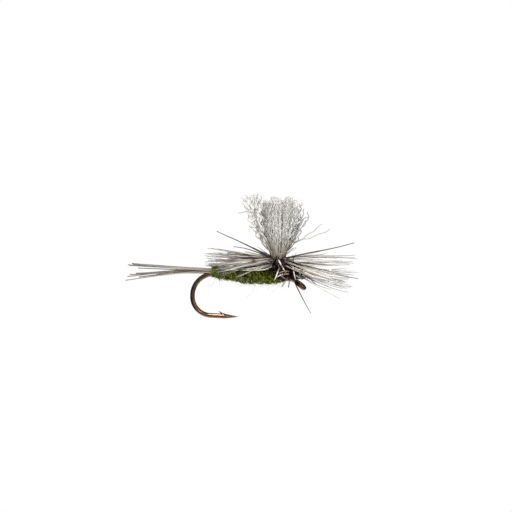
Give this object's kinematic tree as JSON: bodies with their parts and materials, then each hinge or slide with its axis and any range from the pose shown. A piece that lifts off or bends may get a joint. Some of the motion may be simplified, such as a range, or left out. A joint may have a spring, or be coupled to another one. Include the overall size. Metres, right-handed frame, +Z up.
{
  "type": "dry fly",
  "caption": "Parachute dry fly on a down-eye hook: dubbed olive body, spread fibre tail, upright yarn wing post and a hackle wound flat round the post.",
  "frame": {"origin": "centre of the hook eye's bore", "axes": "+X along the hook shank, forwards past the eye; +Z up through the wing post; +Y completes the right-handed frame"},
  "size_m": [0.024, 0.0159, 0.0132],
  "materials": {
    "hook_steel": "dark bronze lacquer",
    "tying_thread": "waxed olive tan thread",
    "tail_fibre": "pale dun hackle fibre",
    "wing_yarn": "crimped white poly yarn",
    "hackle": "grizzly hackle barbs",
    "quill": "glossy pale feather quill",
    "dubbing": "olive fur dubbing",
    "head_thread": "dark waxed thread",
    "cement": "clear amber head cement"
  },
  "bodies": {
    "root": {"hook": "hook_steel", "thread_base": "tying_thread", "tail_fibre_1": "tail_fibre", "tail_fibre_2": "tail_fibre", "tail_fibre_3": "tail_fibre", "tail_fibre_4": "tail_fibre", "tail_fibre_5": "tail_fibre", "tail_fibre_6": "tail_fibre", "tail_fibre_7": "tail_fibre", "tail_fibre_8": "tail_fibre", "tail_fibre_9": "tail_fibre", "tail_fibre_10": "tail_fibre", "tail_fibre_11": "tail_fibre", "tail_fibre_12": "tail_fibre", "tail_fibre_13": "tail_fibre", "tail_fibre_14": "tail_fibre", "tail_tie_wraps": "tying_thread", "wing_post_yarn": "wing_yarn", "wing_tie_wraps": "tying_thread", "post_base_wraps": "tying_thread", "hackle_quill": "quill", "hackle_barbs_turn_1": "hackle", "hackle_barbs_turn_2": "hackle", "hackle_barbs_turn_3": "hackle", "hackle_barbs_turn_4": "hackle", "hackle_barbs_turn_5": "hackle", "dubbed_abdomen": "dubbing", "dubbed_thorax": "dubbing", "thread_head": "head_thread", "head_cement": "cement"}
  },
  "joints": []
}
